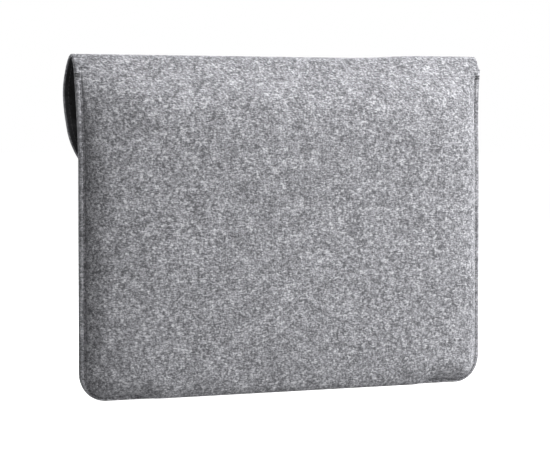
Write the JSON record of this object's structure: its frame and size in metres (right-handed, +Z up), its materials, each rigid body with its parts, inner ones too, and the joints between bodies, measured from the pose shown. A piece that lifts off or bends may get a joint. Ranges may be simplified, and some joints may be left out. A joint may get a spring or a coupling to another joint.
{
  "type": "laptop sleeve",
  "caption": "Felt envelope sleeve for a small laptop: a folded and side-sewn pocket, open at the top, with a wide flap that folds over the front and holds with a hook-and-loop patch.",
  "frame": {"origin": "middle of the flat strip of the folded base that the sleeve stands on", "axes": "+X across the sleeve, towards the right of a person looking at its back; +Y out of the back panel, so the flap is on the -Y side; +Z up towards the mouth"},
  "size_m": [0.3468, 0.0393, 0.2539],
  "materials": {
    "felt": "heather-grey pressed felt with a soft fuzzy face",
    "lining": "charcoal brushed flannel",
    "thread": "dark grey spun polyester thread",
    "patch_thread": "grey spun polyester thread",
    "loop_tape": "soft black loop pile",
    "hook_tape": "black woven tape with rows of small hooks"
  },
  "bodies": {
    "sleeve": {"outer_felt": "felt", "pocket_lining": "lining", "mouth_thread": "thread", "left_seam_thread": "thread", "right_seam_thread": "thread", "left_bar_tack": "thread", "right_bar_tack": "thread", "loop_patch": "loop_tape", "loop_patch_thread": "patch_thread"},
    "shoulder": {"shoulder_felt": "felt", "shoulder_lining": "lining"},
    "flap": {"flap_felt": "felt", "flap_lining": "lining", "flap_edge_thread": "thread", "hook_patch": "hook_tape", "hook_patch_thread": "patch_thread"}
  },
  "joints": [
    {"name": "shoulder_fold", "type": "hinge", "parent": "sleeve", "child": "shoulder", "pos_m": [0, 0.0016, 0.241], "axis": [-1, 0, 0], "range_deg": [0, 60]},
    {"name": "flap_fold", "type": "hinge", "parent": "shoulder", "child": "flap", "pos_m": [0, -0.0128, 0.254], "axis": [-1, 0, 0], "range_deg": [0, 165]}
  ]
}
